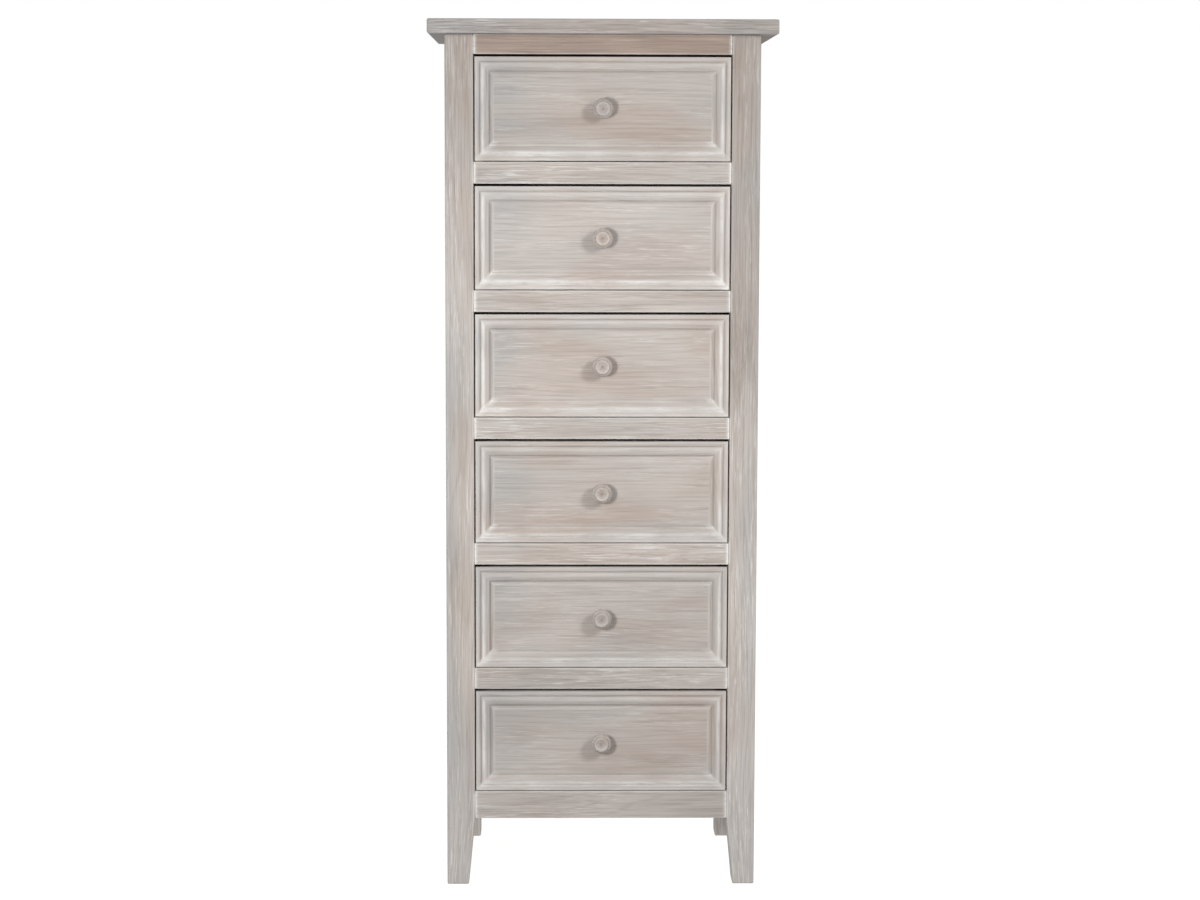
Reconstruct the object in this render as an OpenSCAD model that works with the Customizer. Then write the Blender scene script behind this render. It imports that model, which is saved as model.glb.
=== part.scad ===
// Tall, narrow chest of six drawers in limed wood: four corner posts, panelled sides and
// back, a top board screwed on from inside, and drawers with moulded fronts that run on
// wooden runners. Millimetres, +Z up. The front faces -Y, and +X is to the right of
// someone facing it. The origin is on the floor, under the middle of the whole chest,
// knobs and top board included.

/* [Overall] */
// Height from the floor to the upper face of the top board
overall_h = 1200; // [900:5:1500]
// Width over the corner posts
carcass_w = 430; // [350:5:700]
// Depth over the corner posts
carcass_d = 300; // [250:5:450]
// Number of drawers
drawers = 6; // [3:1:6]

/* [Top board] */
// Thickness of the top board
top_t = 20; // [15:1:30]
// Overhang past the posts on each side
top_side_overhang = 23; // [0:1:40]
// Overhang past the front of the posts
top_front_overhang = 17; // [0:1:25]
// Overhang past the back of the posts
top_back_overhang = 8; // [0:1:25]
// Rounding of the edges of the top board
top_edge_r = 2.5; // [0.5:0.5:6]

/* [Posts and front rails] */
// Side of the square corner posts
post = 39; // [30:1:60]
// Width that a front leg tapers down to at the floor
foot_w = 30; // [20:1:40]
// Rounding of the upright corners of the posts
post_edge_r = 2; // [0.5:0.5:5]
// Height of the space between the floor and the apron
floor_gap = 94; // [60:1:150]
// Height of the rail under the top board
top_rail_h = 27; // [20:1:50]
// Height of each rail between two drawers
rail_h = 30; // [18:1:50]
// Height of each drawer opening
opening_h = 145; // [100:1:180]
// Distance of the rails behind the front of the posts
rail_setback = 1.5; // [0:0.5:5]
// Rounding of the long edges of the rails
rail_edge_r = 1; // [0.5:0.5:3]

/* [Joinery] */
// Length of the tenons at the ends of the front rails
tenon_l = 15; // [8:1:25]
// Thickness of those tenons
tenon_t = 12; // [6:1:16]
// Shoulder above and below each tenon
tenon_shoulder = 4; // [2:0.5:8]
// Depth of the grooves that hold the side and back panels
groove_d = 8; // [4:0.5:12]
// Depth of the housings in the side panels that hold the runners
housing_d = 3; // [2:0.5:5]
// Clearance on each side of a glued joint
glue_gap = 0.05; // [0.02:0.01:0.2]

/* [Side and back panels] */
// Thickness of the side panels
side_panel_t = 12; // [8:1:18]
// Distance of a side panel inside the outer face of the posts
side_panel_setback = 8; // [3:1:15]
// Thickness of the back panel
back_panel_t = 5; // [3:1:9]
// Thickness of the two back rails
back_rail_t = 20; // [15:1:30]
// Height of the two back rails
back_rail_h = 40; // [30:1:70]
// Distance of the back rails inside the back of the posts
back_rail_setback = 2; // [0:0.5:8]

/* [Runners and stops] */
// Width of the ledge that a drawer side slides on
ledge_w = 12; // [8:1:20]
// Height of the guide beside the drawer side
guide_h = 20; // [10:1:40]
// Length of a drawer stop along the rail
stop_l = 40; // [20:1:60]
// Depth of a drawer stop
stop_d = 14; // [8:1:18]
// Height of a drawer stop
stop_h = 5; // [3:0.5:6]
// Distance of each stop from the middle of the chest
stop_x = 110; // [60:5:140]
// Gap between a stop and the closed drawer
stop_gap = 0.3; // [0.1:0.1:1]

/* [Drawer boxes] */
// Depth of a drawer, front included
drawer_d = 270; // [200:5:280]
// Thickness of the drawer sides and back
box_t = 12; // [9:1:15]
// Height of a drawer side
side_h = 138; // [90:1:140]
// Height of a drawer back
back_h = 112; // [80:1:120]
// Depth of the housing in each side that holds the back
back_housing_d = 5; // [3:0.5:7]
// Distance of the drawer back from the end of the sides
back_inset = 10; // [5:1:30]
// Thickness of the drawer bottom
bottom_t = 5; // [3:1:8]
// Height of the drawer bottom above the lower edge of the side
bottom_lift = 8; // [6:1:15]
// Depth of the grooves that hold the bottom
bottom_groove_d = 6; // [3:0.5:8]
// Rounding of the long edges of the sides and back
box_edge_r = 1.5; // [0.5:0.5:4]
// Clearance under a drawer side
slide_gap = 0.1; // [0.05:0.05:0.5]

/* [Drawer fronts] */
// Thickness of a drawer front
front_t = 20; // [16:1:25]
// Gap on each side of a drawer front
side_gap = 1.5; // [0.5:0.5:3]
// Gap above a drawer front
top_gap = 3; // [1:0.5:4]
// Gap under a drawer front
bottom_gap = 1; // [0.5:0.5:3]
// Depth of the rebate that takes the end of a drawer side
lap_d = 10; // [6:1:12]
// Width of the moulding round the edge
moulding_w = 26; // [20:1:35]
// Width of the flat lip outside the bead
lip_w = 6.5; // [4:0.5:10]
// Radius of the rounded bead
bead_r = 12; // [8:0.5:16]
// Distance of the crown of the bead from the edge
bead_x = 13; // [10:0.5:18]
// Distance from the edge at which the bead ends
bead_end = 19.5; // [16:0.5:22]
// Depth of the quirk between the lip and the bead
quirk_d = 1.6; // [0.5:0.1:3]
// Distance of the bottom of the inner groove from the edge
inner_groove_x = 21; // [18:0.5:25]
// Depth of the inner groove
inner_groove_d = 3; // [1:0.1:5]
// Depth of the flat field behind the face of the lip
field_drop = 1; // [0:0.1:4]

/* [Knobs] */
// Reach of a knob in front of the posts
knob_reach = 26; // [20:1:40]
// Largest diameter of a knob
knob_d = 28; // [20:1:40]
// Diameter of the foot of a knob
knob_foot_d = 18; // [10:1:25]
// Height of the narrowest place above the foot
knob_neck_h = 8.5; // [5:0.5:12]
// Radius of the hollow round the neck
knob_hollow_r = 7; // [5:0.5:9]
// Width of the rounded flank between the widest place and the face
knob_rim_w = 7; // [3:0.5:8]
// Height of that flank
knob_rim_h = 9; // [5:0.5:10]
// Radius of the raised ring on the face
knob_ring_x = 8.5; // [6:0.5:12]
// Radius of the dish inside the ring
knob_dish_r = 16; // [12:1:40]
// Depth of that dish
knob_dish_d = 1.6; // [0.5:0.1:3]

/* [Screws] */
// Diameter of all the screws
screw_d = 4; // [3:0.5:5]
// Diameter of their heads
screw_head_d = 8; // [6:0.5:10]
// Height of their heads
screw_head_h = 2.5; // [1.5:0.5:4]
// Length of a screw inside a knob
knob_screw_hold = 15; // [8:1:18]
// Length of a screw inside the top board
top_screw_hold = 12; // [8:1:15]
// Depth of the counterbore under the heads of the top board's screws
counterbore_h = 10; // [5:1:15]

/* [Hidden] */
$fn = 64;
cut = 1;
drilled_d = screw_d + 2 * glue_gap;
drill_point = 0.5;

limed_wood = [0.73, 0.69, 0.65];
top_wood = [0.66, 0.63, 0.60];
inner_wood = [0.80, 0.70, 0.56];
ply_wood = [0.76, 0.66, 0.52];
screw_steel = [0.62, 0.62, 0.64];

front_y = (knob_reach - carcass_d - top_back_overhang) / 2;
back_y = front_y + carcass_d;
post_x = carcass_w / 2 - post;
under_top = overall_h - top_t;
side_panel_x = carcass_w / 2 - side_panel_setback - side_panel_t;
back_panel_y = back_y - back_rail_setback - (back_rail_t + back_panel_t) / 2;
runner_len = carcass_d - 2 * post;

front_w = 2 * (post_x - side_gap);
front_h = opening_h - top_gap - bottom_gap;
front_mid = bottom_gap + front_h / 2;
box_x = front_w / 2 - box_t;
bottom_z = slide_gap + bottom_lift;

kicker_z = under_top - top_rail_h;
top_screw_x = (post_x + side_panel_x) / 2;
top_screw_places = [
    for (x = [-top_screw_x, top_screw_x], y = [-runner_len / 4, runner_len / 4])
        [x, y + (front_y + back_y) / 2],
    for (x = [-post_x / 2, post_x / 2])
        [x, front_y + post * 0.75]
];

function opening_top(i) = kicker_z - (i - 1) * (opening_h + rail_h);
function opening_bottom(i) = opening_top(i) - opening_h;
function rail_z(i) =
    i == 0 ? kicker_z : i == drawers ? floor_gap : opening_bottom(i) - rail_h;
function rail_height(i) =
    i == 0 ? top_rail_h : i == drawers ? opening_bottom(i) - floor_gap : rail_h;

drawer_parts = ["front", "sides", "back", "bottom", "knob", "knob_screw"];

// ---- Shared shapes ----

// Rectangle with round corners, from [0, 0].
module round_rect(w, h, r) {
    translate([r, 0]) square([w - 2 * r, h]);
    translate([0, r]) square([w, h - 2 * r]);
    for (x = [r, w - r], y = [r, h - r])
        translate([x, y]) circle(r);
}

// Bar along X with rounded long edges, centred on X.
module bar_x(length, depth, height, r) {
    translate([-length / 2, 0, 0])
        rotate([90, 0, 90])
            linear_extrude(length)
                round_rect(depth, height, r);
}

// Bar along Y with rounded long edges, centred on X.
module bar_y(width, length, height, r) {
    translate([-width / 2, length, 0])
        rotate([90, 0, 0])
            linear_extrude(length)
                round_rect(width, height, r);
}

// The shape of a part on the right, or its mirror image for the left.
module on_side(left) {
    mirror([left ? 1 : 0, 0, 0]) children();
}

// Pan-head screw along +Z: the underside of its head is at the origin.
module screw(shank) {
    rotate_extrude() {
        translate([0, -screw_head_h]) square([screw_head_d / 2, screw_head_h]);
        square([screw_d / 2, shank]);
    }
}

// ---- Carcass ----

// The board's plan and both of its cross-sections have rounded corners.
module top_board() {
    w = carcass_w + 2 * top_side_overhang;
    d = carcass_d + top_front_overhang + top_back_overhang;
    color(top_wood)
        difference() {
            translate([0, front_y - top_front_overhang, under_top])
                intersection() {
                    translate([-w / 2, 0, 0])
                        linear_extrude(top_t) round_rect(w, d, top_edge_r);
                    bar_x(w, d, top_t, top_edge_r);
                    bar_y(w, d, top_t, top_edge_r);
                }
            for (place = top_screw_places)
                translate([place[0], place[1], under_top - cut])
                    cylinder(d = drilled_d, h = top_screw_hold + drill_point + cut);
        }
}

module top_screws() {
    color(screw_steel)
        for (place = top_screw_places)
            translate([place[0], place[1], kicker_z + counterbore_h])
                screw(top_rail_h - counterbore_h + top_screw_hold);
}

// Holes for the top board's screws, through whatever stands under the board.
module top_screw_holes() {
    for (place = top_screw_places)
        translate([place[0], place[1], kicker_z - cut]) {
            cylinder(d = screw_head_d + 1, h = counterbore_h + cut);
            cylinder(d = drilled_d, h = top_rail_h + 2 * cut);
        }
}

// Right-hand post from the floor to the top board, with rounded upright corners.
module post_blank(y) {
    translate([post_x, y, 0])
        linear_extrude(under_top)
            round_rect(post, post, post_edge_r);
}

// Groove along a right-hand post for the edge of the side panel.
module side_panel_groove(y) {
    translate([side_panel_x - glue_gap, y, floor_gap])
        cube([side_panel_t + 2 * glue_gap, groove_d + cut, under_top]);
}

// Tenon at the right-hand end of front rail i, or its mortise when grown.
module front_tenon(i, grow = 0) {
    translate([
        post_x - cut,
        front_y + (post - tenon_t) / 2 - grow,
        rail_z(i) + tenon_shoulder - grow
    ])
        cube([
            cut + tenon_l + grow,
            tenon_t + 2 * grow,
            rail_height(i) - 2 * tenon_shoulder + 2 * grow
        ]);
}

// The inner face tapers below the apron, and the outer face is straight.
module front_leg(left) {
    taper = post - foot_w;
    color(limed_wood)
        on_side(left)
            difference() {
                post_blank(front_y);
                translate([post_x, front_y + post + cut, 0])
                    rotate([90, 0, 0])
                        linear_extrude(post + 2 * cut)
                            polygon([
                                [-cut, -cut], [taper, -cut], [taper, 0],
                                [0, floor_gap], [-cut, floor_gap]
                            ]);
                side_panel_groove(front_y + post - groove_d);
                for (i = [0:drawers])
                    front_tenon(i, glue_gap);
            }
}

module back_leg(left) {
    color(limed_wood)
        on_side(left)
            difference() {
                post_blank(back_y - post);
                side_panel_groove(back_y - post - cut);
                translate([post_x - cut, back_panel_y - glue_gap, floor_gap])
                    cube([groove_d + cut, back_panel_t + 2 * glue_gap, under_top]);
            }
}

// The panel stands in the posts' grooves and carries the runners in its housings.
module side_panel(left) {
    tongue = groove_d - glue_gap;
    housings = concat(
        [[kicker_z, top_rail_h + cut]],
        [for (i = [1:drawers]) [opening_bottom(i) - rail_h, rail_h]]
    );
    color(limed_wood)
        on_side(left)
            difference() {
                translate([side_panel_x, front_y + post - tongue, floor_gap])
                    cube([side_panel_t, runner_len + 2 * tongue, under_top - floor_gap]);
                for (h = housings)
                    translate([side_panel_x - cut, front_y, h[0] - glue_gap])
                        cube([cut + housing_d, carcass_d, h[1] + 2 * glue_gap]);
            }
}

// Front rail 0 is under the top board, the last one is the apron.
module front_rail(i) {
    color(limed_wood)
        difference() {
            union() {
                translate([0, front_y + rail_setback, rail_z(i)])
                    bar_x(2 * post_x, post - rail_setback, rail_height(i), rail_edge_r);
                for (left = [false, true])
                    on_side(left) front_tenon(i);
            }
            if (i == 0) top_screw_holes();
        }
}

// Back rail with stub tenons, and with the panel's groove along one edge.
module back_rail(z, groove_z) {
    stub_z = groove_z > z ? z : z + groove_d;
    color(limed_wood)
        difference() {
            union() {
                translate([0, back_y - back_rail_setback - back_rail_t, z])
                    bar_x(2 * post_x, back_rail_t, back_rail_h, rail_edge_r);
                translate([-post_x - groove_d + glue_gap, back_panel_y, stub_z])
                    cube([
                        2 * (post_x + groove_d - glue_gap),
                        back_panel_t,
                        back_rail_h - groove_d
                    ]);
            }
            translate([-carcass_w / 2, back_panel_y - glue_gap, groove_z])
                cube([carcass_w, back_panel_t + 2 * glue_gap, groove_d + cut]);
        }
}

module back_top_rail() {
    back_rail(under_top - back_rail_h, under_top - back_rail_h - cut);
}

module back_bottom_rail() {
    back_rail(floor_gap, floor_gap + back_rail_h - groove_d);
}

module back_panel() {
    tongue = groove_d - glue_gap;
    color(ply_wood)
        translate([-post_x - tongue, back_panel_y, floor_gap + back_rail_h - tongue])
            cube([
                2 * (post_x + tongue),
                back_panel_t,
                under_top - floor_gap - 2 * (back_rail_h - tongue)
            ]);
}

// The strip over the top drawer's side keeps the open drawer from tipping.
module kicker(left) {
    x = post_x - ledge_w;
    color(inner_wood)
        difference() {
            on_side(left)
                translate([x, front_y + post, kicker_z])
                    cube([side_panel_x + housing_d - glue_gap - x, runner_len, top_rail_h]);
            top_screw_holes();
        }
}

// Each runner is a ledge under the drawer side with a guide beside it. The ledge is as
// high as a rail, so it is also the kicker over the drawer below.
module runners(left) {
    back_x = side_panel_x + housing_d - glue_gap;
    color(inner_wood)
        on_side(left)
            for (i = [1:drawers])
                translate([0, back_y - post, opening_bottom(i)])
                    rotate([90, 0, 0])
                        linear_extrude(runner_len)
                            polygon([
                                [post_x - ledge_w, -rail_h], [back_x, -rail_h],
                                [back_x, 0], [side_panel_x, 0],
                                [side_panel_x, guide_h], [post_x, guide_h],
                                [post_x, 0], [post_x - ledge_w, 0]
                            ]);
}

// Blocks on the rails that stop each drawer front flush with the posts.
module drawer_stops() {
    color(inner_wood)
        for (i = [1:drawers], x = [-stop_x, stop_x])
            translate([x - stop_l / 2, front_y + front_t + stop_gap, opening_bottom(i)])
                cube([stop_l, stop_d, stop_h]);
}

// ---- Drawers ----

// Places a shape in opening i: at the face of the posts, on the upper face of the rail.
module in_opening(i) {
    translate([0, front_y, opening_bottom(i)]) children();
}

// Cross-section of the front's edge: x runs in from the edge, y out from the back.
module edge_profile() {
    face = front_t;
    square([lip_w, face]);
    square([bead_x, face - quirk_d]);
    intersection() {
        translate([bead_x, face - bead_r]) circle(bead_r);
        translate([lip_w, 0]) square([bead_end - lip_w, face]);
    }
    polygon([
        [bead_end, 0], [bead_end, face - inner_groove_d], [inner_groove_x, face - inner_groove_d],
        [moulding_w, face - field_drop], [moulding_w, 0]
    ]);
}

// Lower edge of a front that is w wide and h high, with mitred ends.
module mitred_edge(w, h) {
    intersection() {
        translate([-w / 2, 0, -h / 2])
            rotate(180, [1, 0, 1])
                linear_extrude(w) edge_profile();
        rotate([90, 0, 0])
            linear_extrude(front_t)
                polygon([
                    [-w / 2, -h / 2], [w / 2, -h / 2],
                    [w / 2 - moulding_w, moulding_w - h / 2],
                    [moulding_w - w / 2, moulding_w - h / 2]
                ]);
    }
}

// Board with a moulding worked round all four edges. Its back lies on y = 0.
module moulded_board() {
    field_t = front_t - field_drop;
    translate([moulding_w - front_w / 2, -field_t, moulding_w - front_h / 2])
        cube([front_w - 2 * moulding_w, field_t, front_h - 2 * moulding_w]);
    for (turn = [0, 180]) {
        rotate([0, turn, 0]) mitred_edge(front_w, front_h);
        rotate([0, turn + 90, 0]) mitred_edge(front_h, front_w);
    }
}

module drawer_front(i) {
    groove_x = box_x + bottom_groove_d;
    color(limed_wood)
        in_opening(i)
            difference() {
                translate([0, front_t, front_mid]) moulded_board();
                for (left = [false, true])
                    on_side(left)
                        translate([box_x - glue_gap, front_t - lap_d - glue_gap, 0])
                            cube([box_t + cut, lap_d + cut, opening_h]);
                translate([-groove_x, front_t - bottom_groove_d, bottom_z - glue_gap])
                    cube([2 * groove_x, bottom_groove_d + cut, bottom_t + 2 * glue_gap]);
                translate([0, front_t + cut, front_mid])
                    rotate([90, 0, 0])
                        cylinder(d = drilled_d, h = front_t + 2 * cut);
            }
}

module drawer_sides(i) {
    length = drawer_d - front_t + lap_d;
    color(inner_wood)
        in_opening(i)
            for (left = [false, true])
                on_side(left)
                    difference() {
                        translate([box_x + box_t / 2, front_t - lap_d, slide_gap])
                            bar_y(box_t, length, side_h, box_edge_r);
                        translate([box_x - cut, 0, bottom_z - glue_gap])
                            cube([
                                cut + bottom_groove_d,
                                drawer_d + cut,
                                bottom_t + 2 * glue_gap
                            ]);
                        translate([
                            box_x - cut,
                            drawer_d - back_inset - box_t - glue_gap,
                            bottom_z + bottom_t
                        ])
                            cube([cut + back_housing_d, box_t + 2 * glue_gap, side_h]);
                    }
}

module drawer_back(i) {
    color(inner_wood)
        in_opening(i)
            translate([0, drawer_d - back_inset - box_t, bottom_z + bottom_t])
                bar_x(2 * (box_x + back_housing_d - glue_gap), box_t, back_h, box_edge_r);
}

// The bottom slides in from behind, under the back.
module drawer_bottom(i) {
    half_w = box_x + bottom_groove_d - glue_gap;
    start_y = front_t - bottom_groove_d + glue_gap;
    color(ply_wood)
        in_opening(i)
            translate([-half_w, start_y, bottom_z])
                cube([2 * half_w, drawer_d - start_y - cut, bottom_t]);
}

// Turned profile: a foot, a hollow neck, a rounded flank, and a ring round a dished face.
module knob_profile() {
    length = knob_reach + field_drop;
    knob_r = knob_d / 2;
    ring_r = 1.2;
    rim_z = length - ring_r / 2 - knob_rim_h;
    difference() {
        intersection() {
            union() {
                square([knob_foot_d / 2, knob_neck_h]);
                translate([0, knob_neck_h]) square([knob_r, rim_z - knob_neck_h]);
                translate([0, rim_z]) square([knob_r - knob_rim_w, knob_rim_h]);
                translate([knob_r - knob_rim_w, rim_z])
                    scale([1, knob_rim_h / knob_rim_w])
                        circle(knob_rim_w);
                translate([knob_ring_x, length - ring_r]) circle(ring_r);
            }
            square([knob_r, length]);
        }
        translate([knob_r, knob_neck_h]) circle(knob_hollow_r);
        translate([0, length - ring_r / 2 - knob_dish_d + knob_dish_r]) circle(knob_dish_r);
        translate([0, -cut]) square([drilled_d / 2, cut + knob_screw_hold + drill_point]);
    }
}

module knob(i) {
    color(limed_wood)
        in_opening(i)
            translate([0, field_drop, front_mid])
                rotate([90, 0, 0])
                    rotate_extrude() knob_profile();
}

module knob_screw(i) {
    color(screw_steel)
        in_opening(i)
            translate([0, front_t, front_mid])
                rotate([90, 0, 0])
                    screw(front_t - field_drop + knob_screw_hold);
}

// ---- Assembly ----

top_board();  // top
front_leg(true);  // front_leg_left
front_leg(false);  // front_leg_right
back_leg(true);  // back_leg_left
back_leg(false);  // back_leg_right
side_panel(true);  // side_panel_left
side_panel(false);  // side_panel_right
back_panel();
back_top_rail();
back_bottom_rail();
front_rail(0);  // top_rail
for (i = [1:drawers - 1])
    front_rail(i);
front_rail(drawers);  // apron
kicker(true);  // kicker_left
kicker(false);  // kicker_right
runners(true);  // runners_left
runners(false);  // runners_right
drawer_stops();
top_screws();
for (i = [1:drawers]) {
    drawer_front(i);
    drawer_sides(i);
    drawer_back(i);
    drawer_bottom(i);
    knob(i);
    knob_screw(i);
}
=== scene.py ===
"""The looks of the tall chest of drawers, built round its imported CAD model.

Metres. The floor is z = 0, the front faces -Y, and +X is to the right of someone facing
it. Every piece takes its place and size from the CAD node that it stands for.
"""
import math
import random

import bmesh
import bpy
import numpy as np
from mathutils import Matrix, Vector, noise


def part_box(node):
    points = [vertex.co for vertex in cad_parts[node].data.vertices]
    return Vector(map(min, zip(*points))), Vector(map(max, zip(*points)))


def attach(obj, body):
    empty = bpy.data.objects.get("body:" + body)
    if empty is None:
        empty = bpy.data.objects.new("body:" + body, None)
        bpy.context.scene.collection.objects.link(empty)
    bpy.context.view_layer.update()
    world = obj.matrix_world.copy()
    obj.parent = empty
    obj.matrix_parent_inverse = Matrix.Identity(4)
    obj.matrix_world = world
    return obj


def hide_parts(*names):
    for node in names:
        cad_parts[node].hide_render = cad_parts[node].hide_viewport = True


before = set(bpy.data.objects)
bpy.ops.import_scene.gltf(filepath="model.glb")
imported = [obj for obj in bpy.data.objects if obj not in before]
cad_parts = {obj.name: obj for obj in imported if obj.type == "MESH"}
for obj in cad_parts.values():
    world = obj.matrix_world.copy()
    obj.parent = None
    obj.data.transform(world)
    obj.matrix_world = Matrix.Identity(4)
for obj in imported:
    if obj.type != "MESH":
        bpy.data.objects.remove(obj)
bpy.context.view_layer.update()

MM = 0.001
X, Y, Z = 0, 1, 2
# For boards whose grain runs along X, Y or Z: the way along it, then the two across it
GRAIN_ORDER = {X: (X, Y, Z), Y: (Y, X, Z), Z: (Z, X, Y)}

# The chest's own measures, as in the CAD model
DRAWERS = 6
FOOT_W = 30 * MM
SIDE_LAP = 12 * MM
LAP_DEPTH = 10 * MM
FLOOR_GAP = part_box("apron")[0].z
POST_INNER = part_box("front_leg_right")[0].x
POST_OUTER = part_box("front_leg_right")[1].x
FRONT_RAILS = ["top_rail"] + [f"divider_rail_{i}" for i in range(1, DRAWERS)] + ["apron"]

# Lines of a drawer front's moulding, from its edge inwards
LIP = 2.0 * MM
QUIRK = 7.3 * MM
BEAD = 11.0 * MM
GROOVE = 20.6 * MM
# The groove where the bottom strip gets painted light
PAINTED_LIGHT_GROOVE = 21 * MM
FIELD_EDGE = 25.2 * MM
MOULDING_W = 26 * MM
FLAT_FIELD = 30 * MM
FIELD_DROP = 1.0 * MM


# ---- Mesh making ----

def stops(lo, hi, radius, step, extra=()):
    """Positions from lo to hi: close together at each rounded end, then evenly spaced."""
    round_end = radius * (1 - np.tan(np.radians([45.0, 22.5])))
    beside = radius + np.array([0, 1.2, 2.6, 5]) * MM
    ends = np.concatenate([round_end, beside[2 * beside < hi - lo]])
    count = max(1, round((hi - lo - 2 * beside[-1]) / step))
    inner = np.linspace(lo + beside[-1], hi - beside[-1], count + 1)[1:-1]
    if 2 * beside[-1] >= hi - lo:
        inner = np.array([(lo + hi) / 2])
    return np.unique(np.round(np.concatenate([lo + ends, inner, hi - ends, extra]), 6))


def box_sheets(xs, ys, zs):
    """The six sides of a box as grids of points."""
    axes = [xs, ys, zs]
    for axis in (X, Y, Z):
        u, v = [a for a in (X, Y, Z) if a != axis]
        for end in (0, -1):
            sheet = np.empty((len(axes[u]), len(axes[v]), 3))
            sheet[..., axis] = axes[axis][end]
            sheet[..., u] = axes[u][:, None]
            sheet[..., v] = axes[v][None, :]
            yield sheet


def round_off(points, lo, hi, radius):
    """Moves the points of a box's surface onto the same box with rounded edges."""
    core = np.clip(points, lo + radius, hi - radius)
    out = points - core
    return core + radius * out / np.linalg.norm(out, axis=1, keepdims=True)


def weld(sheets):
    """Points and faces of the sheets, with coincident points joined."""
    points = []
    quads = []
    base = 0
    for sheet in sheets:
        rows, cols = sheet.shape[:2]
        index = base + np.arange(rows * cols).reshape(rows, cols)
        quads.append(np.stack(
            [index[:-1, :-1], index[1:, :-1], index[1:, 1:], index[:-1, 1:]], -1
        ).reshape(-1, 4))
        points.append(sheet.reshape(-1, 3))
        base += rows * cols
    points, joined = np.unique(
        np.round(np.concatenate(points), 7), axis=0, return_inverse=True)
    faces = []
    for quad in joined.reshape(-1)[np.concatenate(quads)]:
        face = list(dict.fromkeys(quad.tolist()))
        if len(face) > 2:
            faces.append(face)
    return points, faces


def new_piece(name, points, faces):
    """A closed, smooth-shaded mesh object with its faces turned outwards."""
    mesh = bpy.data.meshes.new(name)
    mesh.from_pydata(points.tolist(), [], faces)
    work = bmesh.new()
    work.from_mesh(mesh)
    bmesh.ops.recalc_face_normals(work, faces=work.faces)
    work.to_mesh(mesh)
    work.free()
    mesh.shade_smooth()
    piece = bpy.data.objects.new(name, mesh)
    bpy.context.scene.collection.objects.link(piece)
    return piece


def weigh_normals(piece):
    """Keeps the flat faces flat beside rounded edges."""
    modifier = piece.modifiers.new("weighted_normals", "WEIGHTED_NORMAL")
    modifier.weight = 80
    modifier.keep_sharp = True


def place(piece, body, node, material):
    """Gives a piece its body and its material, and hides the CAD node it stands for."""
    piece.data.materials.append(material)
    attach(piece, body)
    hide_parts(node)


def hash_noise(point, size, seed):
    """Smooth noise from -1 to 1 with features of that size."""
    return noise.noise(Vector(point) / size + Vector((seed * 7.31, seed * 3.17, seed * 5.71)))


def arris_distance(points, lo, hi):
    """How far each point is from the nearest edge of the box."""
    to_faces = np.minimum(points - lo, hi - points)
    return np.sort(to_faces, axis=1)[:, 1]


def wear_down(points, centre, distance, seed, depth=0.25 * MM, reach=1.6 * MM):
    """Handling wear: edges sink a little here and there, with a few deeper nicks."""
    worn = points.copy()
    for i in np.nonzero(distance < 3 * reach)[0]:
        soft = 0.5 + 0.5 * hash_noise(points[i], 30 * MM, seed)
        nick = max(0.0, hash_noise(points[i], 11 * MM, seed + 9) - 0.45) * 3.0
        sink = depth * (soft + nick) * math.exp(-((distance[i] / reach) ** 2))
        inward = centre[i] - points[i]
        worn[i] += inward / np.linalg.norm(inward) * sink
    return worn


def store(piece, grain, lime_and_highlight, painted_shade, bare, wash):
    """Writes what the wood material reads at each point of the mesh.

    grain is the place along and across the grain. The marks are white lime on the surface,
    partly a painted highlight, then painted shade, and then bare, how far the wash has worn off.
    wash is how cool, how warm and how light it is.
    """
    marks = np.stack([lime_and_highlight, painted_shade, np.broadcast_to(bare, len(lime_and_highlight))], 1)
    for name, values in (("grain", grain), ("marks", marks), ("wash", wash)):
        domain = "POINT" if len(values) == len(piece.data.vertices) else "CORNER"
        layer = piece.data.attributes.new(name, "FLOAT_VECTOR", domain)
        layer.data.foreach_set("vector", np.asarray(values, np.float32).ravel())


def peak(values, centre, width):
    """A bell-shaped bump, 1 high."""
    return np.exp(-(((values - centre) / width) ** 2))


def smooth(values, low, high):
    """0 below low, 1 above high and a smooth step between them."""
    t = np.clip((values - low) / (high - low), 0, 1)
    return t * t * (3 - 2 * t)


def patches(points, size, seed):
    """Smooth patches from 0 to 1 on the surface."""
    return np.array([0.5 + 0.8 * hash_noise(p, size, seed) for p in points]).clip(0, 1)


def wash_of(points, axis, level, seed, cool=0.0, warm=0.0):
    """The colour of the wash on each point, with slow patches over what is asked for.

    The patches are drawn out along axis, the way of the grain.
    """
    squeezed = points.copy()
    squeezed[:, axis] *= 0.4
    drift = patches(squeezed, 0.05, seed)
    cool = cool + 0.4 * smooth(patches(squeezed, 0.06, seed + 2), 0.55, 0.85)
    warm = warm + 0.7 * smooth(patches(squeezed, 0.065, seed + 5), 0.5, 0.85)
    lightness = level * (0.96 + 0.08 * drift)
    return np.stack([np.clip(cool, 0, 1), np.clip(warm, 0, 1), lightness], 1)


def lighten(wash, factor):
    """The same wash, made lighter or darker."""
    return wash * np.stack([np.ones(len(wash)), np.ones(len(wash)), factor], 1)


def post_wash(brown_from, brown, pale_below):
    """Posts are cooler along the outer arris and at the foot, and browner above a height.

    pale_below is how much paler the post is below its middle.
    """
    def wash(points, axis, level, seed):
        from_side = POST_OUTER - np.abs(points[:, X])
        outer_strip = 1 - smooth(from_side, 4 * MM, 13 * MM)
        middle_strip = peak(from_side, 20 * MM, 12 * MM)
        foot = 1 - smooth(points[:, Z], 0.06, 0.30)
        low = (1 - smooth(points[:, Z], 0.3, 0.6)) * (1 - 0.6 * foot)
        high = smooth(points[:, Z], brown_from, brown_from + 0.2)
        cool = 0.9 * outer_strip * (1 - 0.6 * high) + 0.7 * foot
        warm = middle_strip * (0.5 - 0.4 * foot + 1.2 * brown * high)
        factor = 1 + 0.05 * foot + pale_below * low - 0.2 * brown * high
        return lighten(wash_of(points, axis, level, seed, cool, warm), factor)
    return wash


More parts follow.
